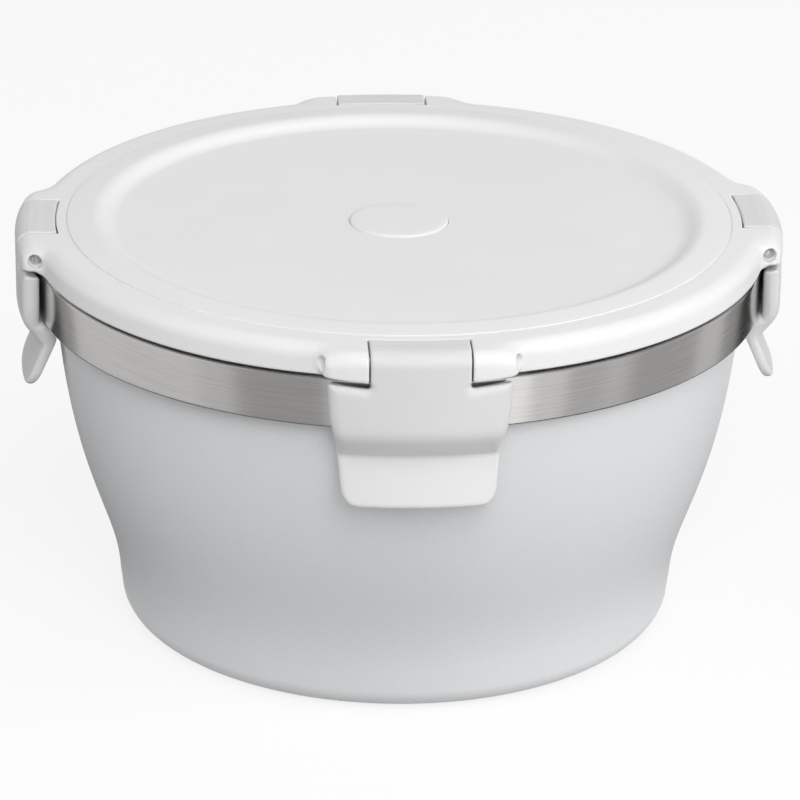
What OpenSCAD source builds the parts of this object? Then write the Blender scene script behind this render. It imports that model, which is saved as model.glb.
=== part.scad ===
// Insulated bowl: two steel shells with a vacuum between them, and a moulded lid
// that four hinged latches hold down by hooks under the rim band.
// +Z is up, the front latch is at -Y and the origin is the centre of the base.

/* [Bowl] */
// Outer radius of the steel rim band
band_r = 80; // [77:0.5:90]
// Height of the rim above the table
rim_z = 84.4; // [82:0.2:95]
// Height of the rim band
band_h = 11; // [9:0.5:13]
// Width of the ledge under the rim band, from its outer face to the painted shell
band_ledge_w = 4; // [3.5:0.25:5]
// Outer radius at the top of the foot
foot_r = 62.4; // [56:0.1:66]
// Distance that the foot narrows by towards its bottom
foot_taper = 0.4; // [0:0.1:2]
// Height of the foot
foot_h = 8.5; // [6:0.5:12]
// Radius of the rounded edge round the base
base_round = 5.3; // [3:0.1:6]
// Wall of each steel shell
steel_wall = 0.6; // [0.4:0.1:0.8]
// Width of the rim, from the band's outer face to the mouth
rim_w = 8.4; // [7.6:0.1:10]
// Height of the inner floor's underside above the table
floor_z = 7; // [6:0.5:10]
// Width of the flat ring that the bowl stands on
stand_w = 3.5; // [2:0.5:5]

/* [Lid] */
// Distance that the lid's rim stands out past the rim band
lid_over = 0.5; // [0.2:0.05:0.6]
// Height of the lid's lower edge above the rim
lid_gap = 0.7; // [0.4:0.1:1]
// Height of the lid's skirt, from its lower edge to its top face
lid_h = 7; // [6.6:0.1:8]
// Radius of the rounded outer edge of the lid
lid_round = 4.6; // [3:0.2:5]
// Width of the lid frame's top face, from its edge to the seam
frame_w = 7.3; // [6.9:0.1:7.6]
// Width of the flat top between the seam and the dish
dish_edge_w = 6.8; // [4:0.2:10]
// Depth of the dish
dish_depth = 2.8; // [1.5:0.1:3]
// Width of the sloping side of the dish
dish_slope_w = 3.7; // [2:0.1:6]
// Thickness of the panel
panel_t = 2; // [1.4:0.1:2.2]
// Radius of the disc in the middle
disc_r = 11.25; // [8:0.25:16]
// Height of the disc above the dish's floor
disc_rise = 0.5; // [0.2:0.1:1]
// Depth that the lid's inner plate reaches below the rim
plug_depth = 4.2; // [3.8:0.2:6]

/* [Latches] */
// Distance that the latches and ears stand out past the rim band
latch_out = 4.5; // [3.8:0.1:5]
// Distance of the hinge pins' axes inside the rim band's outer face
pin_in = 0.35; // [0.3:0.05:0.8]
// Depth of the hinge pins below the lid's top face
pin_drop = 3.65; // [3.5:0.05:3.8]
// Radius of the hinge pins
pin_r = 1.25; // [1:0.05:1.4]
// Radial clearance of the latches' bores on the hinge pins
pin_fit = 0.05; // [0.03:0.01:0.08]
// Depth of the pins' ends inside the side faces of the ears
pin_end_depth = 1; // [0.6:0.1:1.8]
// Half width of the hinge barrel of a latch
barrel_half_w = 10.4; // [8:0.2:12]
// Half width of a latch at its shoulders
shoulder_half_w = 19.1; // [17.6:0.1:20]
// Depth of the shoulders below the pin
shoulder_drop = 4.15; // [4:0.05:5]
// Distance that each side of a latch is set in from its shoulder at the tab's top
tab_in = 2.1; // [1.8:0.1:5]
// Distance that each side of the tab narrows by towards its lower end
tab_taper = 1.2; // [0:0.2:3]
// Radius of the tab's lower corners
tab_corner = 4.5; // [3:0.25:6]
// Depth of the latches' lower ends below the rim band
latch_reach = 16.4; // [12:0.1:18]
// Gap between the rim band and the latch plate
plate_gap = 0.75; // [0.7:0.05:1.5]
// Thickness of the finger tab
tab_t = 2.2; // [1.4:0.1:2.6]
// Distance that the hook reaches in under the rim band
hook_reach = 2.9; // [2:0.1:3]
// Clearance between the hook and the rim band's lower edge
hook_clear = 0.3; // [0.3:0.05:0.5]
// Distance that an ear's outer face is set in from the latch's shoulder
ear_in = 0.9; // [0.2:0.1:1.2]
// Distance that an ear widens by from its outer face to the pin's ends
ear_side_w = 1.2; // [0.8:0.1:1.8]
// Distance that an ear widens by from its outer face to the lid's rim
ear_root_w = 4.3; // [3:0.1:6]
// Side gap between the barrel and each ear
side_gap = 0.3; // [0.3:0.05:0.6]

/* [Hidden] */
$fn = 96;
cut_over = 1;
curve_steps = 16;
arc_steps = 6;
body_color = [0.80, 0.81, 0.82];
steel_color = [0.66, 0.66, 0.65];
lid_color = [0.93, 0.93, 0.92];
latch_color = [0.90, 0.90, 0.89];
front_a = 0;
right_a = 90;
back_a = 180;
left_a = 270;
latch_angles = [front_a, right_a, back_a, left_a];

band_wall = 0.8;
band_round = 0.8;
band_lip_w = 3;
band_z = rim_z - band_h;
shell_r = band_r - band_ledge_w;
mouth_r = band_r - rim_w;
foot_base_r = foot_r - foot_taper;
lid_r = band_r + lid_over;
lid_z = rim_z + lid_gap;
top_z = lid_z + lid_h;
seam_r = lid_r - frame_w;
dish_r = seam_r - dish_edge_w;
latch_r = band_r + latch_out;
pin_dist = band_r - pin_in;
ear_half_w = shoulder_half_w - ear_in;
ear_side_half_w = ear_half_w + ear_side_w;
ear_root_half_w = ear_half_w + ear_root_w;
pin_half_len = ear_side_half_w - pin_end_depth;
seat_gap = 0.1;
fine_gap = 0.05;
pin_z = top_z - pin_drop;

// Quarter points of the wall curve, as shares of its height and of its width
wall_rise_share = 0.28;
wall_lift_share = 0.359;
wall_in_share = 0.082;
wall_out_share = 0.784;

// Points on a cubic curve with control points p
function curve_at(p, s) =
    pow(1 - s, 3) * p[0] + 3 * pow(1 - s, 2) * s * p[1]
    + 3 * (1 - s) * s * s * p[2] + pow(s, 3) * p[3];
function curve_slope(p, s) =
    3 * pow(1 - s, 2) * (p[1] - p[0]) + 6 * (1 - s) * s * (p[2] - p[1]) + 3 * s * s * (p[3] - p[2]);
// The curve moved to its left by d, so towards the axis for a curve that climbs
function curve_moved(p, s, d) =
    let (v = curve_slope(p, s)) curve_at(p, s) + d * [-v[1], v[0]] / norm(v);
function curve_line(p, d, from_s = 0, to_s = 1, n = curve_steps) =
    [for (i = [0:n]) curve_moved(p, from_s + (to_s - from_s) * i / n, d)];
function reversed(list) = [for (i = [len(list) - 1:-1:0]) list[i]];
// Points on an arc about c
function arc(c, r, from_a, to_a, n = arc_steps) =
    [for (i = [0:n]) let (a = from_a + (to_a - from_a) * i / n) c + r * [cos(a), sin(a)]];

wall_h = band_z - foot_h;
wall_w = shell_r - foot_r;
wall_curve = [
    [foot_r, foot_h],
    [foot_r + wall_w * wall_in_share, foot_h + wall_h * wall_rise_share],
    [foot_r + wall_w * wall_out_share, foot_h + wall_h * wall_lift_share],
    [shell_r, band_z]
];
base_c = [foot_base_r - base_round, base_round];
stand_inner_r = base_c[0] - stand_w;

module outer_shell() {
    color(body_color) rotate_extrude() polygon(concat(
        [[stand_inner_r, 0]],
        arc(base_c, base_round, -90, 0),
        curve_line(wall_curve, 0),
        [[shell_r, rim_z - steel_wall], [shell_r - steel_wall, rim_z - steel_wall]],
        reversed(curve_line(wall_curve, steel_wall)),
        reversed(arc(base_c, base_round - steel_wall, -90, 0)),
        [[stand_inner_r, steel_wall]]));
}

// Base plate, raised inside the ring that the bowl stands on
plate_lift = 2;
plate_slope_w = 3;
vent_r = 1;
plug_r = 3;
plug_t = 1.1;
plate_r = stand_inner_r - plate_slope_w;
module base_plate() {
    color(steel_color) rotate_extrude() polygon([
        [vent_r, plate_lift], [plate_r, plate_lift], [stand_inner_r - steel_wall, 0],
        [stand_inner_r, 0], [stand_inner_r, steel_wall],
        [plate_r, plate_lift + steel_wall], [vent_r, plate_lift + steel_wall]]);
}

module vacuum_seal_plug() {
    color(steel_color) {
        translate([0, 0, plate_lift - plug_t]) cylinder(h = plug_t, r = plug_r);
        translate([0, 0, plate_lift - cut_over]) cylinder(h = cut_over + steel_wall, r = vent_r);
    }
}

// Inner bowl, a smooth cup whose mouth runs out into the rim's flange
floor_in = 24.3;
mouth_h = 5;
flange_round = 1;
cup_lean = 2.4;
cup_floor_share = 0.857;
cup_wall_share = 0.56;
cup_r = mouth_r + steel_wall;
floor_r = foot_r - floor_in;
cup_h = rim_z - mouth_h - floor_z;
cup_curve = [
    [floor_r, floor_z],
    [floor_r + floor_in * cup_floor_share, floor_z],
    [cup_r - cup_lean, floor_z + cup_h * cup_wall_share],
    [cup_r, rim_z - mouth_h]
];
flange_r = band_r - band_lip_w;
module inner_bowl() {
    color(steel_color) rotate_extrude() polygon(concat(
        [[0, floor_z]],
        curve_line(cup_curve, 0),
        [[cup_r, rim_z - steel_wall], [flange_r, rim_z - steel_wall], [flange_r, rim_z]],
        arc([mouth_r + flange_round, rim_z - flange_round], flange_round, 90, 180),
        reversed(curve_line(cup_curve, steel_wall)),
        [[0, floor_z + steel_wall]]));
}

// Rim band: a collar with a flat top lip, a rounded upper edge and a lower ledge
module rim_band() {
    c = [band_r - band_round, rim_z - band_round];
    color(steel_color) rotate_extrude() polygon(concat(
        [[shell_r, band_z], [band_r, band_z]],
        arc(c, band_round, 0, 90),
        [[flange_r, rim_z], [flange_r, rim_z - steel_wall], [shell_r, rim_z - steel_wall],
         [shell_r, rim_z - band_wall], [band_r - band_wall, rim_z - band_wall],
         [band_r - band_wall, band_z + band_wall], [shell_r, band_z + band_wall]]));
}

foil_t = 0.15;
foil_from_share = 0.35;
foil_to_share = 0.95;
module heat_foil() {
    color([0.78, 0.76, 0.72]) rotate_extrude() polygon(concat(
        curve_line(cup_curve, -fine_gap, foil_from_share, foil_to_share),
        reversed(curve_line(cup_curve, -fine_gap - foil_t, foil_from_share, foil_to_share))));
}

getter_r = 6;
getter_t = 1.2;
getter_dist = 22;
module getter() {
    color([0.45, 0.45, 0.47]) translate([getter_dist, 0, floor_z - getter_t])
        cylinder(h = getter_t, r = getter_r);
}

// Lid frame. Its channel is open below, and its inner wall carries the panel's ledge.
frame_top_t = 2;
skirt_t = 2;
skirt_round = 0.4;
frame_wall_t = 1.1;
ledge_w = 2.2;
ledge_t = 1.6;
frame_in_r = seam_r - fine_gap;
frame_out_r = seam_r + frame_wall_t;
lid_c = [lid_r - lid_round, top_z - lid_round];
ear_round = 3;
ear_lower_round = 1.2;
panel_seat_z = top_z - panel_t;
ledge_in_r = seam_r - ledge_w;

module frame_ring() {
    rotate_extrude() polygon(concat(
        [[frame_in_r, rim_z + seat_gap], [frame_out_r, rim_z + seat_gap],
         [frame_out_r, top_z - frame_top_t], [lid_r - skirt_t, top_z - frame_top_t],
         [lid_r - skirt_t, lid_z], [lid_r - skirt_round, lid_z], [lid_r, lid_z + skirt_round]],
        arc(lid_c, lid_round, 0, 90),
        [[seam_r, top_z], [seam_r, panel_seat_z], [ledge_in_r, panel_seat_z],
         [ledge_in_r, panel_seat_z - ledge_t], [frame_in_r, panel_seat_z - ledge_t]]));
}

// Solid round all the lid's edge, from which the ears are cut
module ear_ring() {
    top_c = [latch_r - ear_round, top_z - ear_round];
    low_c = [latch_r - ear_lower_round, lid_z + ear_lower_round];
    rotate_extrude() polygon(concat(
        [[frame_out_r, lid_z]],
        arc(low_c, ear_lower_round, -90, 0),
        arc(top_c, ear_round, 0, 90),
        [[frame_out_r, top_z]]));
}

// Plan of one pair of ears, wide at the lid's rim and narrower outside
ear_foot_y = lid_r - skirt_t - ear_lower_round;
ear_back_y = sqrt(frame_out_r * frame_out_r - ear_root_half_w * ear_root_half_w) - cut_over;
ear_corner_y = latch_r - skirt_t;
module ear_plan() {
    side = [[ear_half_w, -latch_r - cut_over], [ear_half_w, -ear_corner_y],
            [ear_side_half_w, -pin_dist], [ear_root_half_w, -ear_foot_y],
            [ear_root_half_w, -ear_back_y]];
    translate([0, 0, lid_z - cut_over]) linear_extrude(height = lid_h + 2 * cut_over)
        polygon(concat(side, [for (p = reversed(side)) [-p[0], p[1]]]));
}

// Pocket behind the barrel: a body of revolution about the pin, wider at its ends,
// so that its edge in the lid's top face is an arc about the bowl's axis. It is deep
// enough for the latch's outer face, which ends up there when the latch is open.
pocket_less = 1.2;
pocket_in = latch_out + pin_in - pocket_less;
pocket_lip_r = pin_dist - pocket_in;
slot_half_w = barrel_half_w + side_gap;
barrel_gap = 0.15;
function lip_radius(t) =
    norm([pin_dist - sqrt(pocket_lip_r * pocket_lip_r - t * t), pin_drop - fine_gap]);
module about_pin() {
    translate([0, -pin_dist, pin_z]) rotate([0, 90, 0]) children();
}
module pocket_turned(half_w, shrink) {
    n = arc_steps;
    about_pin() rotate_extrude() polygon(concat(
        [[0, -half_w]],
        [for (i = [-n:n]) [lip_radius(half_w * i / n) - shrink, half_w * i / n]],
        [[0, half_w]]));
}
module slot_cut() {
    pocket_turned(slot_half_w, 0);
    translate([-slot_half_w, -latch_r - cut_over, lid_z - cut_over])
        cube([2 * slot_half_w, latch_r + cut_over - pin_dist, lid_h + 2 * cut_over]);
}

module pin_hole(r) {
    about_pin() cylinder(h = 2 * (ear_root_half_w + cut_over), r = r, center = true);
}

// Each pin is held fast in its ears. Shallow mouth of the hole in an ear's slanting side:
mouth_extra = 0.25;
module pin_mouths() {
    len = ear_root_half_w - pin_half_len;
    for (side = [-1, 1])
        about_pin() translate([0, 0, side * (pin_half_len + len / 2)])
            cylinder(h = len, r = pin_r + mouth_extra, center = true);
}

module lid_frame() {
    color(lid_color) difference() {
        union() {
            frame_ring();
            for (a = latch_angles) rotate([0, 0, a])
                intersection() { ear_ring(); ear_plan(); }
        }
        for (a = latch_angles) rotate([0, 0, a]) {
            slot_cut();
            pin_hole(pin_r);
            pin_mouths();
        }
    }
}

// Dished panel with a shallow seat for the disc
seam_gap = 0.15;
panel_edge_round = 0.3;
disc_t = 1.3;
floor_top_z = top_z - dish_depth;
dish_floor_r = dish_r - dish_slope_w;
panel_r = seam_r - seam_gap;
disc_seat_z = floor_top_z + disc_rise - disc_t;
module lid_panel() {
    color(lid_color) rotate_extrude() polygon([
        [0, floor_top_z - panel_t], [dish_floor_r - panel_t / 2, floor_top_z - panel_t],
        [dish_r - panel_t / 2, panel_seat_z], [panel_r, panel_seat_z],
        [panel_r, top_z - panel_edge_round], [panel_r - panel_edge_round, top_z],
        [dish_r, top_z], [dish_floor_r, floor_top_z],
        [disc_r + seam_gap, floor_top_z], [disc_r + seam_gap, disc_seat_z], [0, disc_seat_z]]);
}

disc_round = 0.4;
module centre_disc() {
    c = [disc_r - disc_round, floor_top_z + disc_rise - disc_round];
    color(lid_color) rotate_extrude() polygon(concat(
        [[0, disc_seat_z], [disc_r, disc_seat_z]],
        arc(c, disc_round, 0, 90),
        [[0, floor_top_z + disc_rise]]));
}

// Inner plate: a shallow tray that plugs the mouth and carries the gasket
tray_t = 1.8;
tray_wall_t = 1.3;
gasket_gap = 0.3;
gasket_w = 2.2;
gasket_over = 0.4;
gasket_out_r = mouth_r - gasket_gap;
tray_r = gasket_out_r - gasket_w;
tray_z = rim_z - plug_depth;
tray_top_z = panel_seat_z - ledge_t;
tray_flange_r = frame_in_r;
tray_flange_t = 1.4;
lower_lip = 1.3;
gasket_z = tray_z + tray_t;
gasket_top_z = rim_z + seat_gap + gasket_over;
module lid_inner_plate() {
    color(lid_color) rotate_extrude() polygon([
        [0, tray_z], [tray_r + lower_lip, tray_z], [tray_r + lower_lip, gasket_z],
        [tray_r, gasket_z], [tray_r, gasket_top_z + fine_gap],
        [tray_flange_r, gasket_top_z + fine_gap],
        [tray_flange_r, gasket_top_z + fine_gap + tray_flange_t],
        [tray_r, gasket_top_z + fine_gap + tray_flange_t], [tray_r, tray_top_z],
        [tray_r - tray_wall_t, tray_top_z], [tray_r - tray_wall_t, tray_z + tray_t],
        [0, tray_z + tray_t]]);
}

foam_gap = 0.2;
module lid_insulation() {
    foam_z = tray_z + tray_t + foam_gap;
    color([0.88, 0.86, 0.78]) translate([0, 0, foam_z])
        cylinder(h = floor_top_z - panel_t - foam_gap - foam_z, r = tray_r - tray_wall_t - foam_gap);
}

// Silicone ring with two sealing beads
bead_h_share = 0.34;
bead_rise = 0.7;
module lid_gasket() {
    h = gasket_top_z - gasket_z - fine_gap;
    web_r = gasket_out_r - bead_rise;
    low = gasket_z + fine_gap;
    color([0.72, 0.72, 0.70]) rotate_extrude() polygon([
        [tray_r + fine_gap, low], [tray_r + lower_lip, low],
        [gasket_out_r, low + h * bead_h_share / 2],
        [web_r, low + h * bead_h_share], [web_r, low + h * (1 - bead_h_share)],
        [gasket_out_r, low + h * (1 - bead_h_share / 2)],
        [web_r, low + h], [tray_r + fine_gap, low + h]]);
}

// Latch section, in distance from the bowl's axis and height
barrel_top_gap = 0.35;
barrel_low_r = 3.35;
lip_end_a = 147;
valley_top_rise = 2.4;
valley_drop = 6.5;
valley_depth = 4.4;
valley_out_r = 7.5;
valley_in_r = 1.2;
valley_a = 36;
tab_a = 22;
hook_root_gap = 0.2;
hook_ramp = 1.7;
ear_swing_gap = 0.3;
waist_in = 0.5;
valley_in = 1.8;
waist_rise = 3.6;
valley_side_drop = 2.95;
tab_top_drop = 4.45;
plate_in_r = band_r + plate_gap;
barrel_top_z = top_z - barrel_top_gap;
latch_end_z = band_z - latch_reach;
hook_top_z = band_z - hook_clear;
hook_in_r = band_r - hook_reach;

module latch_turned() {
    top_c = [latch_r - ear_round, barrel_top_z - ear_round];
    out_c = [latch_r - valley_out_r, band_z + valley_top_rise];
    in_c = [latch_r - valley_depth + valley_in_r, band_z - valley_drop];
    tab_from = in_c - valley_in_r * [cos(tab_a), sin(tab_a)];
    tip_z = latch_end_z + tab_t / 2;
    tip_x = tab_from[0] + (tab_from[1] - tip_z) * tan(tab_a) - tab_t / 2 / cos(tab_a);
    hook_low_z = tip_z + (tip_x - hook_in_r - tab_t / 2 / cos(tab_a)) / tan(tab_a);
    rotate_extrude() polygon(concat(
        [[plate_in_r, barrel_top_z]],
        arc(top_c, ear_round, 90, 0),
        arc(out_c, valley_out_r, 0, -valley_a),
        arc(in_c, valley_in_r, 180 - valley_a, 180 + tab_a),
        arc([tip_x, tip_z], tab_t / 2, tab_a, tab_a - 180),
        [[hook_in_r, hook_low_z], [hook_in_r, hook_top_z - hook_ramp],
         [band_r + hook_root_gap, hook_top_z], [plate_in_r, hook_top_z]]));
}

// Front outline of a latch: barrel, shoulders, waist and rounded tab
module latch_outline() {
    tab_half_w = shoulder_half_w - tab_in;
    corner = [tab_half_w - tab_taper - tab_corner, latch_end_z - pin_z + tab_corner];
    side = concat(
        [[barrel_half_w, pin_drop], [barrel_half_w, -shoulder_drop],
         [shoulder_half_w, -shoulder_drop],
         [shoulder_half_w - waist_in, band_z + waist_rise - pin_z],
         [shoulder_half_w - valley_in, band_z - valley_side_drop - pin_z],
         [tab_half_w, band_z - tab_top_drop - pin_z]],
        arc(corner, tab_corner, 0, -90));
    reach = latch_r - hook_in_r + pin_drop + cut_over;
    translate([0, -latch_r - cut_over, pin_z]) rotate([-90, 0, 0]) linear_extrude(height = reach)
        mirror([0, 1, 0]) polygon(concat(side, [for (p = reversed(side)) [-p[0], p[1]]]));
}

// Hinge barrel: round about the pin, with a lip on top that covers the pocket
module barrel() {
    top = barrel_top_z - pin_z;
    far = lip_radius(barrel_half_w);
    lip = [far * cos(lip_end_a), min(far * sin(lip_end_a), top - fine_gap)];
    about_pin() cylinder(h = 2 * barrel_half_w, r = barrel_low_r, center = true);
    intersection() {
        pocket_turned(barrel_half_w, barrel_gap);
        translate([-barrel_half_w, -pin_dist, pin_z]) rotate([90, 0, 90])
            linear_extrude(height = 2 * barrel_half_w)
            polygon([[0, 0], [-lip[0], lip[1]], [-lip[0], top], [-latch_r + pin_dist + ear_round, top],
                     [-latch_r + pin_dist + ear_round, 0]]);
    }
}

// Room that the ears need as the shoulders swing past them
module ear_swing() {
    ear_out = sqrt(latch_r * latch_r - slot_half_w * slot_half_w) - pin_dist;
    swing = norm([ear_out - ear_lower_round, pin_z - lid_z - ear_lower_round])
        + ear_lower_round + ear_swing_gap;
    len = shoulder_half_w + cut_over - barrel_half_w;
    for (side = [-1, 1])
        about_pin() translate([0, 0, side * (barrel_half_w + len / 2)])
            cylinder(h = len, r = swing, center = true);
}

module latch(a) {
    color(latch_color) rotate([0, 0, a]) difference() {
        union() {
            intersection() { latch_turned(); latch_outline(); }
            barrel();
        }
        ear_swing();
        pin_hole(pin_r + pin_fit);
    }
}
module pin(a) {
    color(steel_color) rotate([0, 0, a]) about_pin()
        cylinder(h = 2 * pin_half_len, r = pin_r, center = true);
}
module latch_front() { latch(front_a); }
module latch_right() { latch(right_a); }
module latch_back() { latch(back_a); }
module latch_left() { latch(left_a); }
module pin_front() { pin(front_a); }
module pin_right() { pin(right_a); }
module pin_back() { pin(back_a); }
module pin_left() { pin(left_a); }

outer_shell();
base_plate();
inner_bowl();
rim_band();
heat_foil();
getter();
vacuum_seal_plug();
lid_frame();
lid_panel();
centre_disc();
lid_inner_plate();
lid_insulation();
lid_gasket();
latch_front();
latch_right();
latch_back();
latch_left();
pin_front();
pin_right();
pin_back();
pin_left();
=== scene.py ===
"""Looks of the insulated bowl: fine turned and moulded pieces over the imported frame.

Forms are written in millimetres and meshes are made in metres, with the front latch at -Y."""
import math

import bpy
import numpy as np
from mathutils import Matrix, Vector


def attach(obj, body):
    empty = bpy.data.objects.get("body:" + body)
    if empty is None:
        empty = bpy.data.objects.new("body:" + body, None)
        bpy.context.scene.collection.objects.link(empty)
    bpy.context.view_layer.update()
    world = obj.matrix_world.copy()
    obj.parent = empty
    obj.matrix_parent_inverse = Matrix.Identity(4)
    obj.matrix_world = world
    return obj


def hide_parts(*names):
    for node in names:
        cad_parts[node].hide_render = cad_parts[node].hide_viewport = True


MM = 0.001
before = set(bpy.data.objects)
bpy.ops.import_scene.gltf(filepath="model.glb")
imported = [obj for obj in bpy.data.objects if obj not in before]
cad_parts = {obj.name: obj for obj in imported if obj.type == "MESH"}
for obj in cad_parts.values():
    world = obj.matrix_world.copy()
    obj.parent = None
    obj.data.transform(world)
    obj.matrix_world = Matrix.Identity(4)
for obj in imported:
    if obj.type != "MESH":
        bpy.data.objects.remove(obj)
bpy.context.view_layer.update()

# ---------------------------------------------------- sizes in millimetres
# Bowl
BAND_R, BAND_WALL, BAND_Z, RIM_Z = 80.0, 0.8, 73.4, 84.4
BAND_ROUND_LOW, BAND_ROUND_HIGH, BAND_ROUND_IN = 0.6, 0.8, 0.3
SHELL_R, WALL = 76.0, 0.6
FOOT_BASE_R, BASE_ROUND, STAND_R = 62.0, 5.3, 53.2
CUP_MOUTH_R, CUP_NECK_R, CUP_LIP_ROUND, FLANGE_R, CUP_Z = 71.6, 72.2, 1.0, 77.0, 7.0
WALL_CURVE = [(62.4, 8.5), (63.515, 26.672), (73.062, 31.799), (SHELL_R, BAND_Z)]
CUP_CURVE = [(38.1, CUP_Z), (58.925, CUP_Z), (69.8, 47.544), (CUP_NECK_R, 79.4)]

# Lid: ring, panel with its dish, and disc
LID_R, LID_Z, TOP_Z, LID_ROUND = 80.5, 85.1, 92.1, 5.2
RING_LOW_Z, RING_IN_R, RING_FOOT_R = 84.5, 73.15, 74.3
LEDGE_R, LEDGE_Z, LEDGE_LOW_Z = 71.0, 90.1, 88.5
SEAM_R, PANEL_R, PANEL_STEP_R, PANEL_STEP_Z = 73.2, 73.05, 73.19, 91.5
DISH_R, DISH_FLOOR_R, DISH_ROUND, FLOOR_Z = 66.2, 63.4, 4.2, 90.0
PANEL_LOW_Z, PANEL_LOW_R, PANEL_SKIRT_R = 87.3, 61.7, 65.4
DISC_R, DISC_TOP_Z, DISC_SEAT_Z, DISC_GAP = 10.9, 90.45, 88.5, 0.08
# The panel's rim starts DISH_CREST above the top, falls PANEL_FALL to its edge, and the ring lies
# RING_DROP below the top at the seam and RING_FALL less at its outer edge
DISH_CREST, PANEL_FALL, RING_DROP, RING_FALL = 0.07, 0.3, 0.45, 0.1

# Lid's inside: tray and seal
TRAY_R, TRAY_Z, TRAY_FLOOR_Z, TRAY_OUT_R, TRAY_IN_R = 70.4, 80.2, 82.0, 69.1, 67.8
TRAY_FLANGE_R, TRAY_FLANGE_LOW_Z, TRAY_FLANGE_Z = 73.15, 84.95, 86.35
SEAL_BACK_R, SEAL_BODY_R, SEAL_WAIST_R, SEAL_LIP_R = 69.15, 70.4, 70.6, 71.3
SEAL_Z, SEAL_HIGH, SEAL_LIP_SHARE = 82.05, 2.8, 0.34

# Latches, ears and pins
LATCH_R, PIN_DIST, PIN_Z, PIN_R, PIN_GAP = 84.5, 79.65, 88.45, 1.25, 0.05
SLOT_HALF, BARREL_HALF, BARREL_R = 10.64, 10.42, 3.35
POCKET_R, POCKET_DEPTH, LIP_GAP = 76.0, 3.6, 0.15
PIN_HALF, PIN_DOME_R, PIN_DOME_X, PIN_DOME_END = 18.1, 1.5, 17.4, 36
HOLE_R, HOLE_X = 1.6, 18.4
SHOULDER_HALF = 19.0

SIDES = {"front": 0, "right": 90, "back": 180, "left": 270}
FINE_TURN = 384        # steps round the pieces that show most
CAMERA_TURN = 3.4      # degrees that the camera stands to the left of the front latch


# ---------------------------------------------------------------- profiles
def arc(c, r, a0, a1, n=12):
    """Points on a circle about c, from angle a0 to a1 in degrees."""
    t = np.radians(np.linspace(a0, a1, n + 1))
    return [(c[0] + r * math.cos(a), c[1] + r * math.sin(a)) for a in t]


def cubic(p, n=64, offset=0.0):
    """Points on a cubic curve, moved to its left by offset."""
    p = np.array(p, float)
    s = np.linspace(0, 1, n + 1)[:, None]
    t = 1 - s
    c = t ** 3 * p[0] + 3 * t ** 2 * s * p[1] + 3 * t * s * s * p[2] + s ** 3 * p[3]
    d = 3 * t ** 2 * (p[1] - p[0]) + 6 * t * s * (p[2] - p[1]) + 3 * s * s * (p[3] - p[2])
    left = np.stack([-d[:, 1], d[:, 0]], 1) / np.linalg.norm(d, axis=1)[:, None]
    return [tuple(q) for q in c + offset * left]


def fillet(points, n=8):
    """Closed outline from (r, z, fillet radius) corners."""
    out, count = [], len(points)
    for i, (x, z, rad) in enumerate(points):
        if rad <= 0:
            out.append((x, z))
            continue
        p = np.array([x, z])
        a = np.array(points[i - 1][:2]) - p
        b = np.array(points[(i + 1) % count][:2]) - p
        la, lb = np.linalg.norm(a), np.linalg.norm(b)
        a, b = a / la, b / lb
        half = math.acos(max(-1, min(1, float(a @ b)))) / 2
        cut = min(rad / math.tan(half), 0.48 * la, 0.48 * lb)
        r = cut * math.tan(half)
        centre = p + (a + b) / np.linalg.norm(a + b) * (r / math.sin(half))
        s, e = p + a * cut - centre, p + b * cut - centre
        turn = math.atan2(s[0] * e[1] - s[1] * e[0], float(s @ e))
        for k in range(n + 1):
            t = turn * k / n
            out.append((centre[0] + s[0] * math.cos(t) - s[1] * math.sin(t),
                        centre[1] + s[0] * math.sin(t) + s[1] * math.cos(t)))
    return out


# ------------------------------------------------------------------ meshes
def make_object(name, verts, faces, material, sharp=35):
    """Smooth mesh, with edges over sharp degrees kept sharp."""
    mesh = bpy.data.meshes.new(name)
    mesh.from_pydata(verts, [], faces)
    mesh.update()
    mesh.shade_smooth()
    mesh.set_sharp_from_angle(angle=math.radians(sharp))
    obj = bpy.data.objects.new(name, mesh)
    bpy.context.scene.collection.objects.link(obj)
    mesh.materials.append(material)
    return obj


def lathe(name, outline, material, segments=288, sharp=35):
    """Turns a closed outline of (r, z) about Z. A point on the axis is one vertex."""
    a = 2 * math.pi * np.arange(segments) / segments
    cos, sin = np.cos(a), np.sin(a)
    verts, rows = [], []
    for r, z in outline:
        start = len(verts)
        if r < 1e-6:
            verts.append((0, 0, z * MM))
            rows.append([start] * segments)
        else:
            verts += [(r * c * MM, r * s * MM, z * MM) for c, s in zip(cos, sin)]
            rows.append(list(range(start, start + segments)))
    faces = []
    for i, low in enumerate(rows):
        high = rows[(i + 1) % len(rows)]
        if low[0] == low[1] and high[0] == high[1]:
            continue
        for k in range(segments):
            j = (k + 1) % segments
            quad = [low[k], low[j], high[j], high[k]]
            faces.append(tuple(dict.fromkeys(quad)))
    return make_object(name, verts, faces, material, sharp)


def dress(obj, body, node):
    """Makes a piece stand for a node of the frame."""
    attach(obj, body)
    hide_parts(node)


# ------------------------------------------------- smooth solids from distances
def polygon_distance(x, z, outline):
    """Distance to a closed outline, below zero inside."""
    best = np.full(x.shape, 1e9)
    inside = np.zeros(x.shape, bool)
    for (ax, az), (bx, bz) in zip(outline, outline[1:] + outline[:1]):
        ex, ez = bx - ax, bz - az
        length = ex * ex + ez * ez
        if length < 1e-12:
            continue
        wx, wz = x - ax, z - az
        t = np.clip((wx * ex + wz * ez) / length, 0, 1)
        best = np.minimum(best, (wx - ex * t) ** 2 + (wz - ez * t) ** 2)
        if ez != 0:
            inside ^= ((az > z) != (bz > z)) & (x < ax + wz * ex / ez)
    return np.where(inside, -1, 1) * np.sqrt(best)


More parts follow.
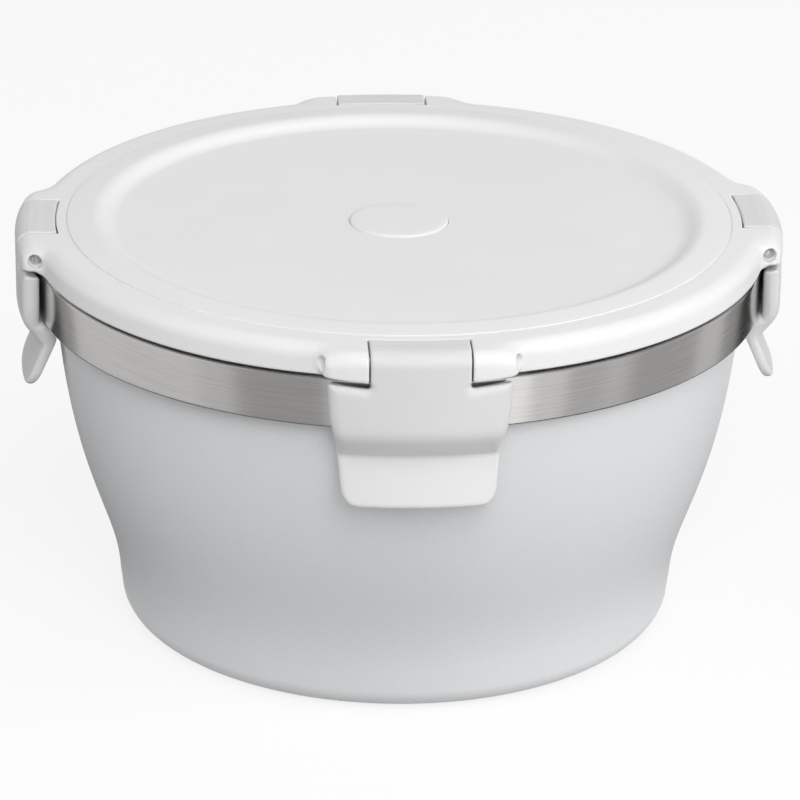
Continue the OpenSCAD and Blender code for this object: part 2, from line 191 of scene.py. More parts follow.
def smax(a, b, k):
    """Intersection with its edge rounded over k."""
    h = np.clip(0.5 + 0.5 * (a - b) / k, 0, 1)
    return b + (a - b) * h + k * h * (1 - h)


def smin(a, b, k):
    """Union with its edge rounded over k."""
    return -smax(-a, -b, k)


def hermite(x, xs, ys):
    """Smooth curve through a few points, level at both ends."""
    xs, ys = np.array(xs, float), np.array(ys, float)
    d = np.diff(ys) / np.diff(xs)
    both, tiny = d[1:] * d[:-1], 1e-12
    m = np.concatenate([[0], np.where(both > 0, 2 * both / (d[1:] + d[:-1] + tiny), 0), [0]])
    x = np.clip(x, xs[0], xs[-1])
    i = np.clip(np.searchsorted(xs, x, "right") - 1, 0, len(xs) - 2)
    h = xs[i + 1] - xs[i]
    t = (x - xs[i]) / h
    return ((2 * t ** 3 - 3 * t ** 2 + 1) * ys[i] + (t ** 3 - 2 * t ** 2 + t) * h * m[i]
            + (3 * t ** 2 - 2 * t ** 3) * ys[i + 1] + (t ** 3 - t ** 2) * h * m[i + 1])


def cylinder_point(p):
    """Grid point (turn in degrees, r, z) as x, y, z, with the front latch at -Y."""
    a = np.radians(p[..., 0])
    return np.stack([p[..., 1] * np.sin(a), -p[..., 1] * np.cos(a), p[..., 2]], -1)


PULL_ROUNDS, PULL_SHARE, PULL_MOST, PROBE, LEAST_SLOPE = 4, 0.8, 0.25, 0.01, 0.3


def pull_to_surface(points, distance):
    """Moves points along the distance's slope until they lie on its zero surface."""
    for _ in range(PULL_ROUNDS):
        f = distance(points)
        g = np.stack([(distance(points + np.eye(3)[k] * PROBE) - f) / PROBE for k in range(3)], 1)
        step = f[:, None] * g / np.maximum((g * g).sum(1), LEAST_SLOPE)[:, None]
        length = np.maximum(np.linalg.norm(step, axis=1), 1e-9)
        points = points - PULL_SHARE * step * np.minimum(1, PULL_MOST / length)[:, None]
    return points


def solid_from(distance, axes, copies=1):
    """Quads round the zero surface of distance(points) on a grid of (turn, r, z).
    With copies, the grid is one part of a ring and is repeated round it."""
    turn, rs, zs = axes
    ring = copies > 1
    grid = np.stack(np.meshgrid(turn, rs, zs, indexing="ij"), -1)
    value = distance(cylinder_point(grid).reshape(-1, 3)).reshape(grid.shape[:3])
    if ring:
        value[-1] = value[0]
    n = [s - 1 for s in value.shape]
    total, count = np.zeros(n + [3]), np.zeros(n)
    inside = value < 0

    def corner(array, d):
        return array[d[0]:d[0] + n[0], d[1]:d[1] + n[1], d[2]:d[2] + n[2]]

    for axis in range(3):
        u, v = [k for k in range(3) if k != axis]
        for du in (0, 1):
            for dv in (0, 1):
                d0 = [0, 0, 0]
                d0[u], d0[v] = du, dv
                d1 = list(d0)
                d1[axis] = 1
                f0, f1 = corner(value, d0), corner(value, d1)
                hit = corner(inside, d0) != corner(inside, d1)
                t = np.where(hit, f0 / np.where(hit, f0 - f1, 1), 0)
                for k in range(3):
                    total[..., k] += hit * (t if k == axis else d0[k])
                count += hit
    active = count > 0
    index = np.full(n, -1)
    index[active] = np.arange(active.sum())
    cell = np.argwhere(active) + total[active] / count[active][:, None]
    place = [np.interp(cell[:, k], np.arange(len(axes[k])), axes[k]) for k in range(3)]
    points = pull_to_surface(cylinder_point(np.stack(place, 1)), distance)
    size = len(points)
    quads = []
    for axis in range(3):
        u, v = [k for k in range(3) if k != axis]
        d = [0, 0, 0]
        d[axis] = 1
        a = inside[:value.shape[0] - d[0], :value.shape[1] - d[1], :value.shape[2] - d[2]]
        b = inside[d[0]:, d[1]:, d[2]:]
        edges = np.argwhere(a != b)
        ok = np.ones(len(edges), bool)
        for k in (u, v):
            ok &= (edges[:, k] < n[k]) & ((edges[:, k] > 0) | (ring and k == 0))
        edges = edges[ok]
        flip = a[tuple(edges.T)] ^ (axis == 1)
        around = []
        for du, dv in ((-1, -1), (0, -1), (0, 0), (-1, 0)):
            c = edges.copy()
            c[:, u] += du
            c[:, v] += dv
            wrap = np.where(c[:, 0] < 0, -1, 0)
            c[:, 0] %= n[0]
            around.append((index[tuple(c.T)], wrap))
        ids = np.stack([i for i, _ in around], 1)
        wraps = np.stack([w for _, w in around], 1)
        ids[~flip] = ids[~flip][:, ::-1]
        wraps[~flip] = wraps[~flip][:, ::-1]
        for c in range(copies):
            quads.append(ids + size * ((c + wraps) % copies))
    verts = []
    for c in range(copies):
        a = 2 * math.pi * c / copies
        turned = [[math.cos(a), math.sin(a), 0], [-math.sin(a), math.cos(a), 0], [0, 0, 1]]
        verts.append(points @ np.array(turned))
    return np.concatenate(verts) * MM, np.concatenate(quads)


def from_pin(p):
    """Distance across from the hinge pin's axis."""
    return np.hypot(-p[:, 1] - PIN_DIST, p[:, 2] - PIN_Z)


def lip_radius(x):
    """How far the pocket behind a latch reaches from the pin, x from the latch's middle."""
    widest = 30.0
    return np.hypot(PIN_DIST - np.sqrt(POCKET_R ** 2 - np.minimum(x * x, widest ** 2)), POCKET_DEPTH)


# ------------------------------------------------------------------- pieces
def shell_piece(material):
    base = (FOOT_BASE_R - BASE_ROUND, BASE_ROUND)
    outline = [(STAND_R, 0)] + arc(base, BASE_ROUND, -90, 0, 16) + cubic(WALL_CURVE, 110)
    outline += [(SHELL_R, RIM_Z - WALL), (SHELL_R - WALL, RIM_Z - WALL)]
    outline += cubic(WALL_CURVE, 60, WALL)[::-1] + arc(base, BASE_ROUND - WALL, -90, 0, 10)[::-1]
    outline += [(STAND_R, WALL)]
    dress(lathe("painted_shell", outline, material, FINE_TURN), "bowl", "outer_shell")


def band_piece(material):
    inner, low, high = BAND_R - BAND_WALL, BAND_Z + BAND_WALL, RIM_Z - BAND_WALL
    outline = fillet([(SHELL_R, BAND_Z, 0), (BAND_R, BAND_Z, BAND_ROUND_LOW),
                      (BAND_R, RIM_Z, BAND_ROUND_HIGH), (FLANGE_R, RIM_Z, 0),
                      (FLANGE_R, RIM_Z - WALL, 0), (SHELL_R, RIM_Z - WALL, 0), (SHELL_R, high, 0),
                      (inner, high, BAND_ROUND_IN), (inner, low, BAND_ROUND_IN), (SHELL_R, low, 0)])
    dress(lathe("steel_band", outline, material, FINE_TURN, 40), "bowl", "rim_band")


def cup_piece(material):
    under, lip = RIM_Z - WALL, (CUP_MOUTH_R + CUP_LIP_ROUND, RIM_Z - CUP_LIP_ROUND)
    outline = [(0, CUP_Z)] + cubic(CUP_CURVE, 70)
    outline += [(CUP_NECK_R, under), (FLANGE_R, under), (FLANGE_R, RIM_Z)]
    outline += arc(lip, CUP_LIP_ROUND, 90, 180, 10) + cubic(CUP_CURVE, 90, WALL)[::-1]
    outline += [(0, CUP_Z + WALL)]
    dress(lathe("steel_cup", outline, material, 320), "bowl", "inner_bowl")


def panel_piece(material):
    recess, slant = DISC_R + DISC_GAP, 0.02
    outline = fillet([(0, PANEL_LOW_Z, 0), (PANEL_LOW_R, PANEL_LOW_Z, 1), (PANEL_SKIRT_R, LEDGE_Z, 1),
                      (PANEL_STEP_R, LEDGE_Z, 0.1), (PANEL_STEP_R, PANEL_STEP_Z - slant, 0.1),
                      (PANEL_R, PANEL_STEP_Z, 0.05), (PANEL_R, TOP_Z - PANEL_FALL, 0.4),
                      (DISH_R, TOP_Z + DISH_CREST, DISH_ROUND), (DISH_FLOOR_R, FLOOR_Z, DISH_ROUND),
                      (recess, FLOOR_Z, 0.15), (recess, DISC_SEAT_Z, 0.1), (0, DISC_SEAT_Z, 0)], 14)
    dress(lathe("top_panel", outline, material, FINE_TURN, 50), "lid", "lid_panel")


def disc_piece(material):
    # The edge stands up from the dish, then leans in and levels out softly
    edge_up, edge_in, edge_left, soft_in = 0.12, 0.45, 0.08, 1.7
    outline = fillet([(0, DISC_SEAT_Z, 0), (DISC_R, DISC_SEAT_Z, 0.1), (DISC_R, FLOOR_Z + edge_up, 0.3),
                      (DISC_R - edge_in, DISC_TOP_Z - edge_left, 0.7),
                      (DISC_R - soft_in, DISC_TOP_Z, 3.0), (0, DISC_TOP_Z, 0)])
    dress(lathe("middle_disc", outline, material, 160, 50), "lid", "centre_disc")


def tray_piece(material):
    outline = fillet([(0, TRAY_Z, 0), (TRAY_R, TRAY_Z, 0.6), (TRAY_R, TRAY_FLOOR_Z, 0.2),
                      (TRAY_OUT_R, TRAY_FLOOR_Z, 0.2), (TRAY_OUT_R, TRAY_FLANGE_LOW_Z, 0.1),
                      (TRAY_FLANGE_R, TRAY_FLANGE_LOW_Z, 0.2), (TRAY_FLANGE_R, TRAY_FLANGE_Z, 0.2),
                      (TRAY_OUT_R, TRAY_FLANGE_Z, 0.4), (TRAY_OUT_R, LEDGE_LOW_Z, 0.2),
                      (TRAY_IN_R, LEDGE_LOW_Z, 0.2), (TRAY_IN_R, TRAY_FLOOR_Z, 1.0),
                      (0, TRAY_FLOOR_Z, 0)], 6)
    dress(lathe("lid_tray", outline, material, sharp=50), "lid", "lid_inner_plate")


def gasket_piece(material):
    low, high, lip, soft = SEAL_Z, SEAL_HIGH, SEAL_LIP_SHARE, 0.3
    outline = fillet([(SEAL_BACK_R, low, 0), (SEAL_BODY_R, low, 0),
                      (SEAL_LIP_R, low + high * lip / 2, soft), (SEAL_WAIST_R, low + high * lip, soft),
                      (SEAL_WAIST_R, low + high * (1 - lip), soft),
                      (SEAL_LIP_R, low + high * (1 - lip / 2), soft),
                      (SEAL_WAIST_R, low + high, 0), (SEAL_BACK_R, low + high, 0)], 6)
    dress(lathe("seal_ring", outline, material, sharp=50), "lid", "lid_gasket")


def ring_section(outer, top_round, low_round):
    """Section of the lid's ring, with its rounding above and below on the outside."""
    seam_z = TOP_Z - RING_DROP
    return fillet([(RING_IN_R, RING_LOW_Z, 0.1), (RING_FOOT_R, RING_LOW_Z, 0.1),
                   (RING_FOOT_R, LID_Z, 0), (outer, LID_Z, low_round),
                   (outer, seam_z - RING_FALL, top_round), (SEAM_R, seam_z, 0.04),
                   (SEAM_R, LEDGE_Z, 0.1), (LEDGE_R, LEDGE_Z, 0.2),
                   (LEDGE_R, LEDGE_LOW_Z, 0.2), (RING_IN_R, LEDGE_LOW_Z, 0.2)], 10)


RING = ring_section(LID_R, LID_ROUND, 0.4)
EAR = ring_section(LATCH_R, 3.0, 1.2)
# The channel under the ring between the ears, and how far from a latch's middle it starts
CHANNEL = [(RING_FOOT_R, 80.0), (78.5, 80.0), (78.5, LEDGE_Z), (RING_FOOT_R, LEDGE_Z)]
CHANNEL_START = 22.5
# How far the section has gone from ring to ear, by the distance from the middle of a latch:
# steep down at the pin, and a long soft curve along the top
EAR_LOW = [(0, 1), (18.3, 1), (19.1, 0.95), (19.7, 0.81), (20.2, 0.53), (20.7, 0.26), (21.2, 0.1),
           (22.4, 0)]
EAR_TOP = [(0, 1), (14.0, 1), (16.4, 0.93), (18.2, 0.75), (19.7, 0.52), (21.3, 0.29), (23.4, 0.09),
           (26.4, 0)]
EAR_CHANGE_Z, EAR_CHANGE_HIGH = 88.2, 3.6
# The ears' lower edge rises outwards: where that starts, over how much radius, how far along and how
# steeply
EDGE_START_R, EDGE_OVER, EDGE_LONG, EDGE_SLOPE = 80.6, 1.5, 8.6, 0.12


def ear_share(x, z):
    up = np.clip((z - EAR_CHANGE_Z) / EAR_CHANGE_HIGH, 0, 1)
    up = up * up * (3 - 2 * up)
    return hermite(x, *zip(*EAR_LOW)) * (1 - up) + hermite(x, *zip(*EAR_TOP)) * up


def frame_distance(p):
    x, r, z = np.abs(p[:, 0]), np.hypot(p[:, 0], p[:, 1]), p[:, 2]
    ear = ear_share(x, z)
    d = polygon_distance(r, z, RING) * (1 - ear) + polygon_distance(r, z, EAR) * ear
    hollow = np.maximum(polygon_distance(r, z, CHANNEL), CHANNEL_START - x)
    d = smax(d, -hollow, 0.5)
    along = np.clip(x - SLOT_HALF, 0, EDGE_LONG)
    lift = np.clip((r - EDGE_START_R) / EDGE_OVER, 0, 1) * along * EDGE_SLOPE
    d = smax(d, LID_Z + lift - z, 0.6)
    pocket = np.minimum(from_pin(p) - lip_radius(x), PIN_DIST + p[:, 1])
    d = smax(d, -np.maximum(x - SLOT_HALF, pocket), 0.4)
    hole = np.minimum(from_pin(p) - PIN_R, np.maximum(from_pin(p) - HOLE_R, HOLE_X - x))
    return smax(d, -hole, 0.2)


def frame_piece(material):
    # A quarter of the ring, finely cut near the latch, by radius and height: from, to and step
    near, quarter, coarse, fine = 18.5, 45, 12, 0.22
    turn = np.concatenate([np.linspace(-quarter, -near, coarse)[:-1], np.arange(-near, near, fine),
                           np.linspace(near, quarter, coarse)])
    axes = [turn, np.arange(70.3, 85.3, 0.3), np.arange(83.9, 92.8, 0.28)]
    verts, faces = solid_from(frame_distance, axes, 4)
    obj = make_object("lid_ring", verts.tolist(), faces.tolist(), material, 60)
    dress(obj, "lid", "lid_frame")


# A latch's section: rounding at the top, inside rounding above the tab, the tab's half thickness,
# lean and reach, and the hook behind it
TOP_ROUND, TOP_CENTRE_Z, CREST = 3.0, 88.75, (80.75, 91.75)
TAB_BEND_ROUND, TAB_BEND_IN, TAB_BEND_DEEP = 1.2, 3.2, 6.0
TAB_HALF, TAB_LEAN, TAB_LONG = 1.1, 22, 16.4
HOOK_R, HOOK_DEEP, HOOK_BACK_R, HOOK_GAP = 77.1, 2.0, 80.2, 0.3
VALLEY = [(LATCH_R, 75.4), (LATCH_R, 72.9), (83.6, 71.2), (80.33, 68.1)]


def latch_section():
    top, bend = (LATCH_R - TOP_ROUND, TOP_CENTRE_Z), (LATCH_R - TAB_BEND_IN, BAND_Z - TAB_BEND_DEEP)
    lean, half = math.radians(TAB_LEAN), TAB_HALF
    start = (bend[0] - TAB_BEND_ROUND * math.cos(lean), bend[1] - TAB_BEND_ROUND * math.sin(lean))
    tip_z = BAND_Z - TAB_LONG + half
    tip_r = start[0] + (start[1] - tip_z) * math.tan(lean) - half / math.cos(lean)
    low_z = tip_z + (tip_r - HOOK_R - half / math.cos(lean)) / math.tan(lean)
    return ([CREST] + arc(top, TOP_ROUND, 90, 0, 14) + cubic(VALLEY, 24)
            + arc(bend, TAB_BEND_ROUND, 144, 180 + TAB_LEAN, 14)
            + arc((tip_r, tip_z), half, TAB_LEAN, TAB_LEAN - 180, 12)
            + [(HOOK_R, low_z), (HOOK_R, BAND_Z - HOOK_DEEP), (HOOK_BACK_R, BAND_Z - HOOK_GAP),
               (CREST[0], BAND_Z - HOOK_GAP)])


def latch_front():
    """Front outline of a latch, both sides."""
    side = [(BARREL_HALF, 96.0, 0), (BARREL_HALF, 83.9, 0.7), (19.1, 85.0, 0.9), (18.6, 77.0, 10.0),
            (17.3, 70.45, 1.2), (17.0, 68.95, 0.8), (15.8, 57.0, 4.5)]
    return fillet(side + [(-x, z, r) for x, z, r in side[::-1]], 10)


SECTION = latch_section()
FRONT = latch_front()
# The barrel's top lip, outwards and up from the pin
LIP = [(0, 0), (4.75, 3.08), (4.75, 3.3), (-1.85, 3.3), (-1.85, 0)]
# How round the latch's side edges are, by height
EDGE_ROUND = [(60, 1.1), (67.5, 1.1), (71, 2.4), (80, 2.4), (84.5, 2.0), (86, 0.7)]
# Room that the shoulders leave for the ears: in from an ear's face, down, and the gap
EAR_IN, EAR_DOWN, SWING_GAP = 1.2, 2.15, 1.5


def latch_distance(p):
    x, r, z = np.abs(p[:, 0]), np.hypot(p[:, 0], p[:, 1]), p[:, 2]
    edge = hermite(z, *zip(*EDGE_ROUND))
    d = smax(polygon_distance(r, z, SECTION), polygon_distance(x, z, FRONT), edge)
    barrel = smax(from_pin(p) - BARREL_R, x - BARREL_HALF, 0.4)
    lip = np.maximum(polygon_distance(PIN_DIST + p[:, 1], z - PIN_Z, LIP),
                     from_pin(p) - lip_radius(x) + LIP_GAP)
    d = smin(d, smin(barrel, smax(lip, x - BARREL_HALF, 0.4), 0.3), 0.3)
    ear_out = np.sqrt(LATCH_R ** 2 - np.clip(x, SLOT_HALF, SHOULDER_HALF) ** 2) - PIN_DIST
    room = np.hypot(ear_out - EAR_IN, EAR_DOWN) + SWING_GAP
    d = smax(d, -np.maximum(from_pin(p) - room, BARREL_HALF - x), 0.5)
    return smax(d, -(from_pin(p) - PIN_R - PIN_GAP), 0.1)


def on_each_side(first, kind):
    """The piece at the front and three more that share its mesh, by side."""
    for side, turn in SIDES.items():
        obj = first
        if side != "front":
            obj = bpy.data.objects.new(f"{kind}_{side}_form", first.data)
            bpy.context.scene.collection.objects.link(obj)
        yield side, math.radians(turn), obj


def latch_pieces(material):
    # By turn, radius and height: from, to and step
    axes = [np.arange(-14.6, 14.61, 0.21), np.arange(74.0, 85.3, 0.28), np.arange(56.4, 92.6, 0.28)]
    verts, faces = solid_from(latch_distance, axes)
    first = make_object("latch_front_form", verts.tolist(), faces.tolist(), material, 60)
    for side, turn, obj in on_each_side(first, "latch"):
        obj.rotation_euler[2] = turn
        dress(obj, f"catch_{side}", f"latch_{side}")


def pin_pieces(material):
    dome = arc((0, PIN_DOME_X), PIN_DOME_R, 90, PIN_DOME_END, 10)
    outline = [(r, -z) for r, z in dome] + [(PIN_R, -PIN_HALF), (PIN_R, PIN_HALF)] + dome[::-1]
    first = lathe("pin_front_form", outline, material, 48, 40)
    dist = PIN_DIST * MM
    for side, turn, obj in on_each_side(first, "pin"):
        place = Matrix.Translation((dist * math.sin(turn), -dist * math.cos(turn), PIN_Z * MM))
        obj.matrix_world = place @ Matrix.Rotation(turn, 4, "Z") @ Matrix.Rotation(math.pi / 2, 4, "Y")
        dress(obj, "lid", f"pin_{side}")


# ---------------------------------------------------------------- materials
NOISE_LOW, NOISE_HIGH = 0.3, 0.7      # where most of a noise's values lie


def new_material(name, color, rough, metallic=0.0):
    m = bpy.data.materials.new(name)
    m.use_nodes = True
    shader = m.node_tree.nodes["Principled BSDF"]
    shader.inputs["Base Color"].default_value = (*color, 1)
    shader.inputs["Roughness"].default_value = rough
    shader.inputs["Metallic"].default_value = metallic
    return m, shader


def noise(m, scale, stretch=(1, 1, 1), detail=2.0):
    """Noise over the object's own coordinates, in metres."""
    nodes, links = m.node_tree.nodes, m.node_tree.links
    place = nodes.new("ShaderNodeTexCoord")
    fit = nodes.new("ShaderNodeMapping")
    fit.inputs["Scale"].default_value = stretch
    n = nodes.new("ShaderNodeTexNoise")
    n.inputs["Scale"].default_value = scale
    n.inputs["Detail"].default_value = detail
    links.new(place.outputs["Object"], fit.inputs["Vector"])
    links.new(fit.outputs["Vector"], n.inputs["Vector"])
    return n.outputs["Fac"]


def spread(m, value, low, high):
    """Maps noise to a range."""
    n = m.node_tree.nodes.new("ShaderNodeMapRange")
    n.inputs["From Min"].default_value, n.inputs["From Max"].default_value = NOISE_LOW, NOISE_HIGH
    n.inputs["To Min"].default_value, n.inputs["To Max"].default_value = low, high
    m.node_tree.links.new(value, n.inputs["Value"])
    return n.outputs["Result"]


def tint(m, shader, value, dark, light):
    """Colours a surface between two colours by noise."""
    ramp = m.node_tree.nodes.new("ShaderNodeValToRGB")
    first, last = ramp.color_ramp.elements
    first.position, last.position = NOISE_LOW, NOISE_HIGH
    first.color, last.color = (*dark, 1), (*light, 1)
    m.node_tree.links.new(value, ramp.inputs["Fac"])
    m.node_tree.links.new(ramp.outputs["Color"], shader.inputs["Base Color"])


def bump(m, shader, value, depth, strength, before=None):
    """Bump of a depth in metres, on top of the bump given as before."""
    n = m.node_tree.nodes.new("ShaderNodeBump")
    n.inputs["Distance"].default_value = depth
    n.inputs["Strength"].default_value = strength
    m.node_tree.links.new(value, n.inputs["Height"])
    if before is not None:
        m.node_tree.links.new(before.outputs["Normal"], n.inputs["Normal"])
    m.node_tree.links.new(n.outputs["Normal"], shader.inputs["Normal"])
    return n


def shade(color, k):
    return tuple(c * k for c in color)


def powder_coat():
    color = (0.745, 0.751, 0.758)
    m, s = new_material("powder_coat", color, 0.5)
    grain = noise(m, 2600, detail=3)
    tint(m, s, grain, shade(color, 0.975), shade(color, 1.025))
    m.node_tree.links.new(spread(m, noise(m, 900), 0.46, 0.56), s.inputs["Roughness"])
    wave = bump(m, s, noise(m, 420), 0.00002, 0.5)
    bump(m, s, grain, 0.00004, 0.55, wave)
    return m


def satin_plastic(name, color, rough=0.42):
    m, s = new_material(name, color, rough)
    tint(m, s, noise(m, 60), shade(color, 0.99), shade(color, 1.008))
    fine = noise(m, 3200)
    m.node_tree.links.new(spread(m, fine, rough - 0.04, rough + 0.04), s.inputs["Roughness"])
    bump(m, s, fine, 0.00001, 0.4)
    return m


def turned_steel(name, color, rough, stretch, scale=60.0, anisotropy=0.75):
    """Steel with fine lines along the way it turns round Z."""
    m, s = new_material(name, color, rough, 1.0)
    lines = noise(m, scale, stretch, 4)
    tint(m, s, lines, shade(color, 0.92), shade(color, 1.07))
    m.node_tree.links.new(spread(m, lines, rough - 0.04, rough + 0.05), s.inputs["Roughness"])
    s.inputs["Anisotropic"].default_value = anisotropy
    s.inputs["Anisotropic Rotation"].default_value = 0.25
    way = m.node_tree.nodes.new("ShaderNodeTangent")
    way.direction_type, way.axis = "RADIAL", "Z"
    m.node_tree.links.new(way.outputs["Tangent"], s.inputs["Tangent"])
    bump(m, s, lines, 0.00001, 0.08)
    return m


def plain_metal(name, color, rough, scale, stretch=(1, 1, 1)):
    m, s = new_material(name, color, rough, 1.0)
    n = noise(m, scale, stretch, 3)
    tint(m, s, n, shade(color, 0.88), shade(color, 1.08))
    bump(m, s, n, 0.00002, 0.4)
    return m


def soft_rubber():
    m, s = new_material("soft_silicone", (0.60, 0.60, 0.58), 0.38)
    s.inputs["Subsurface Weight"].default_value = 0.2
    s.inputs["Subsurface Radius"].default_value = (0.002, 0.002, 0.002)
    tint(m, s, noise(m, 150), (0.58, 0.58, 0.56), (0.63, 0.63, 0.61))
    bump(m, s, noise(m, 2500), 0.00001, 0.3)
    return m


def cell_foam():
    m, s = new_material("cell_foam", (0.70, 0.66, 0.52), 0.9)
    cells = noise(m, 1400, detail=1)
    tint(m, s, cells, (0.60, 0.56, 0.43), (0.76, 0.72, 0.58))
    bump(m, s, cells, 0.0002, 0.8)
    return m


# -------------------------------------------------------------------- stage
def path_switch(nodes, links):
    """1 for what the camera, a reflection or a glass sees, and 0 for light that falls on things."""
    path = nodes.new("ShaderNodeLightPath")
    last = path.outputs["Is Camera Ray"]
    for kind in ("Is Glossy Ray", "Is Transmission Ray"):
        most = nodes.new("ShaderNodeMath")
        most.operation = "MAXIMUM"
        links.new(last, most.inputs[0])
        links.new(path.outputs[kind], most.inputs[1])
        last = most.outputs[0]
    return last


def world_light(strength):
    world = bpy.data.worlds.new("studio")
    bpy.context.scene.world = world
    world.use_nodes = True
    nodes, links = world.node_tree.nodes, world.node_tree.links
    room = nodes["Background"]
    room.inputs["Color"].default_value = (0.985, 0.99, 1.0, 1)
    room.inputs["Strength"].default_value = strength
    white = nodes.new("ShaderNodeBackground")
    white.inputs["Color"].default_value = (1, 1, 1, 1)
    mix = nodes.new("ShaderNodeMixShader")
    links.new(path_switch(nodes, links), mix.inputs[0])
    links.new(room.outputs[0], mix.inputs[1])
    links.new(white.outputs[0], mix.inputs[2])
    links.new(mix.outputs[0], nodes["World Output"].inputs["Surface"])


# The floor's grey for the light that it throws up, its paler grey for the camera and reflections, and
# how much of that is plain white
FLOOR_GREY, FLOOR_PALE, FLOOR_GLOW = 0.50, 0.98, 0.80


def floor():
    m = bpy.data.materials.new("pale_floor")
    m.use_nodes = True
    nodes, links = m.node_tree.nodes, m.node_tree.links
    nodes.remove(nodes["Principled BSDF"])
    seen, paint = nodes.new("ShaderNodeBsdfDiffuse"), nodes.new("ShaderNodeBsdfDiffuse")
    glow = nodes.new("ShaderNodeEmission")
    seen.inputs["Color"].default_value = (FLOOR_PALE, FLOOR_PALE, FLOOR_PALE, 1)
    paint.inputs["Color"].default_value = (FLOOR_GREY, FLOOR_GREY, FLOOR_GREY, 1)
    pale, mix = nodes.new("ShaderNodeMixShader"), nodes.new("ShaderNodeMixShader")
    pale.inputs[0].default_value = FLOOR_GLOW
    links.new(seen.outputs[0], pale.inputs[1])
    links.new(glow.outputs[0], pale.inputs[2])
    links.new(path_switch(nodes, links), mix.inputs[0])
    links.new(paint.outputs[0], mix.inputs[1])
    links.new(pale.outputs[0], mix.inputs[2])
    links.new(mix.outputs[0], nodes["Material Output"].inputs["Surface"])
    size, below = 6.0, 0.0002
    corners = [(-size, -size, 0), (size, -size, 0), (size, size, 0), (-size, size, 0)]
    obj = make_object("floor", corners, [(0, 1, 2, 3)], m)
    obj.location.z = -below


# Round lamps: name, place and height of the point it looks at on the axis (m), width (m), power (W)
LAMPS = [("right", (1.1, -0.25, 0.35), 0.05, 0.7, 4.9),
         ("front", (0.15, -1.3, 0.9), 0.05, 0.9, 8.9),
         ("left", (-0.8, -0.5, 0.9), 0.05, 0.7, 2.6),
         ("back", (0.3, 1.1, 0.8), 0.08, 0.7, 0.9),
         ("high", (0.15, -0.75, 1.25), 0.05, 0.6, 1.7),
         ("high_right", (0.9, -0.5, 0.9), 0.05, 0.5, 0.8)]


def area_light(name, place, aim_z, size, power):
    data = bpy.data.lights.new(name, "AREA")
    data.shape, data.size, data.energy = "DISK", size, power
    obj = bpy.data.objects.new(name, data)
    bpy.context.scene.collection.objects.link(obj)
    obj.location = place
    obj.rotation_euler = (Vector((0, 0, aim_z)) - Vector(place)).to_track_quat("-Z", "Y").to_euler()
    obj.visible_glossy = False


# The ring of glowing card, no lamp, that only reflections see and that paints the band's reflections:
# its own level, and lighter and darker cards on it by azimuth from the camera's side and half width in
# degrees, growing to the right, and level. The two black ones paint the band's dark strokes as
# reflections.
CARD_LEVEL = 0.66
CARDS = [(-120, 8.5, 0.02), (-106, 4, 0.34), (-45, 6, 0.58), (-29, 11, 0.38), (23, 11, 1.08),
         (40, 6, 0.75), (50, 6, 0.52), (60, 5, 0.60), (76, 12, 0.42), (96, 4, 0.62), (108, 5, 0.34),
         (123, 8.5, 0.02), (148, 14, 0.9)]
# How far a card's fading edge reaches, and over how much it fades, in half widths
CARD_REACH, CARD_FADE = 1.35, 0.5
TENT_R, TENT_HIGH, TENT_STEPS = 0.20, 0.42, 360
# The sheet inside the ring: its inner radius and rows, the radius up to which it stays dark as a
# painted shadow of the bowl, over how much that painted shadow lightens, its least level, and how far
# round a reflection has turned at its inner edge
SHEET_R, SHEET_ROWS, SHEET_SHADOW_R, SHEET_SHADOW_FADE = 0.07, 12, 0.125, 0.025
SHEET_SHADOW_LEAST, SHEET_TURN = 0.06, 0.55
SHEET_LIFT, RING_LIFT = 0.0005, 0.001


def card_level(around):
    level = CARD_LEVEL
    for middle, half, bright in CARDS:
        t = min(1.0, max(0.0, CARD_REACH - abs(around - middle) / half) / CARD_FADE)
        level += (bright - level) * t * t * (3 - 2 * t)
    return level


def sheet_row(r):
    """Radius, height, share of the turn and brightness of one row of the sheet, dark near the bowl as a
    painted shadow of the bowl on the floor. A reflection that meets the floor nearer the bowl has
    turned less far round it."""
    out = (r - SHEET_R) / (TENT_R - SHEET_R)
    turned = SHEET_TURN + (1 - SHEET_TURN) * out ** 0.6
    # Rows near the bowl are darkened: a painted shadow of the bowl on the floor, for reflections.
    return r, SHEET_LIFT, turned, min(1, max(SHEET_SHADOW_LEAST, (r - SHEET_SHADOW_R) / SHEET_SHADOW_FADE))


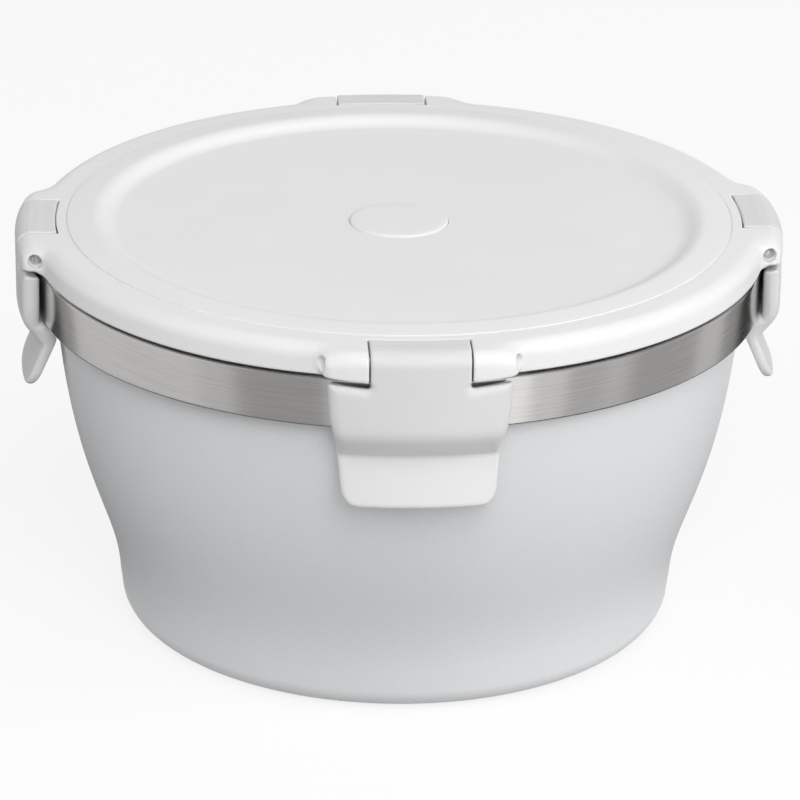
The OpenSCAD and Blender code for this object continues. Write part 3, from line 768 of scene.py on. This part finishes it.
def tent():
    """A ring of upright glowing card, with a sheet on the floor inside it, that only reflections see:
    painted reflections for the band, and a painted shadow of the bowl on the sheet.
    """
    m = bpy.data.materials.new("tent")
    m.use_nodes = True
    nodes, links = m.node_tree.nodes, m.node_tree.links
    nodes.remove(nodes["Principled BSDF"])
    # The tent glows by its grey: painted reflections, seen by reflections only.
    glow = nodes.new("ShaderNodeEmission")
    grey = nodes.new("ShaderNodeAttribute")
    grey.attribute_name = "grey"
    links.new(grey.outputs["Color"], glow.inputs["Color"])
    links.new(glow.outputs[0], nodes["Material Output"].inputs["Surface"])
    steps = TENT_STEPS
    rows = [sheet_row(SHEET_R + (TENT_R - SHEET_R) * k / SHEET_ROWS) for k in range(SHEET_ROWS)]
    rows += [(TENT_R, RING_LIFT, 1, 1), (TENT_R, TENT_HIGH, 1, 1)]
    verts, greys, faces = [], [], []
    for r, z, turned, bright in rows:
        for k in range(steps):
            around = -180 + 360 * k / steps
            a = math.radians(around - CAMERA_TURN)
            verts.append((r * math.sin(a), -r * math.cos(a), z))
            # A point's grey is its card's level times its row's brightness, which holds the painted
            # shadow near the bowl.
            greys.append(card_level(around / turned) * bright)
    for i in range(len(rows) - 1):
        for k in range(steps):
            j = (k + 1) % steps
            low, high = i * steps, (i + 1) * steps
            faces.append((low + k, low + j, high + j, high + k))
    obj = make_object("tent", verts, faces, m)
    layer = obj.data.attributes.new("grey", "FLOAT_COLOR", "POINT")
    layer.data.foreach_set("color", [v for g in greys for v in (g, g, g, 1)])
    obj.visible_camera = obj.visible_diffuse = False
    obj.visible_shadow = obj.visible_transmission = False


def camera():
    """The photo's camera: distance and height in millimetres, angles in radians."""
    dist, height, pitch, yaw, roll = 889.06, 416.77, 0.39408, 0.0008, 0.01278
    ahead = Vector((math.sin(yaw) * math.cos(pitch), math.cos(yaw) * math.cos(pitch), -math.sin(pitch)))
    right = Vector((math.cos(yaw), -math.sin(yaw), 0))
    up = Vector((math.sin(yaw) * math.sin(pitch), math.cos(yaw) * math.sin(pitch), math.cos(pitch)))
    x = right * math.cos(roll) + up * math.sin(roll)
    y = up * math.cos(roll) - right * math.sin(roll)
    turned = Matrix((x, y, -ahead)).transposed().to_4x4()
    turned.translation = Vector((0, -dist, height)) * MM
    data = bpy.data.cameras.new("camera")
    data.sensor_width, data.lens = 36.0, 192.98
    data.clip_start, data.clip_end = 0.05, 50
    obj = bpy.data.objects.new("camera", data)
    bpy.context.scene.collection.objects.link(obj)
    obj.matrix_world = Matrix.Rotation(math.radians(-CAMERA_TURN), 4, "Z") @ turned
    bpy.context.scene.camera = obj


def lights():
    world_light(0.40)
    floor()
    for lamp in LAMPS:
        area_light(*lamp)
    tent()


def main():
    bpy.context.scene.view_settings.view_transform = "Standard"
    camera()
    lights()
    lid = satin_plastic("lid_satin", (0.855, 0.855, 0.850))
    latch = satin_plastic("latch_satin", (0.732, 0.732, 0.727))
    band = turned_steel("band_brushed", (0.70, 0.69, 0.675), 0.20, (1, 1, 70), 60, 0.9)
    cup = turned_steel("cup_brushed", (0.62, 0.61, 0.60), 0.3, (1, 1, 90))
    shell_piece(powder_coat())
    band_piece(band)
    cup_piece(cup)
    panel_piece(lid)
    disc_piece(lid)
    tray_piece(lid)
    gasket_piece(soft_rubber())
    frame_piece(lid)
    latch_pieces(latch)
    pin_pieces(plain_metal("pin_drawn", (0.66, 0.65, 0.63), 0.22, 900, (4, 4, 0.2)))
    base = turned_steel("base_brushed", (0.58, 0.57, 0.56), 0.34, (1, 1, 1), 900, 0.3)
    carried = {"base_plate": base,
               "heat_foil": plain_metal("bright_foil", (0.80, 0.79, 0.76), 0.18, 300),
               "getter": plain_metal("sintered_getter", (0.16, 0.16, 0.17), 0.7, 2200),
               "vacuum_seal_plug": plain_metal("seal_bead", (0.42, 0.42, 0.41), 0.45, 700),
               "lid_insulation": cell_foam()}
    for node, m in carried.items():
        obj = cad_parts[node]
        obj.data.materials.clear()
        obj.data.materials.append(m)


main()
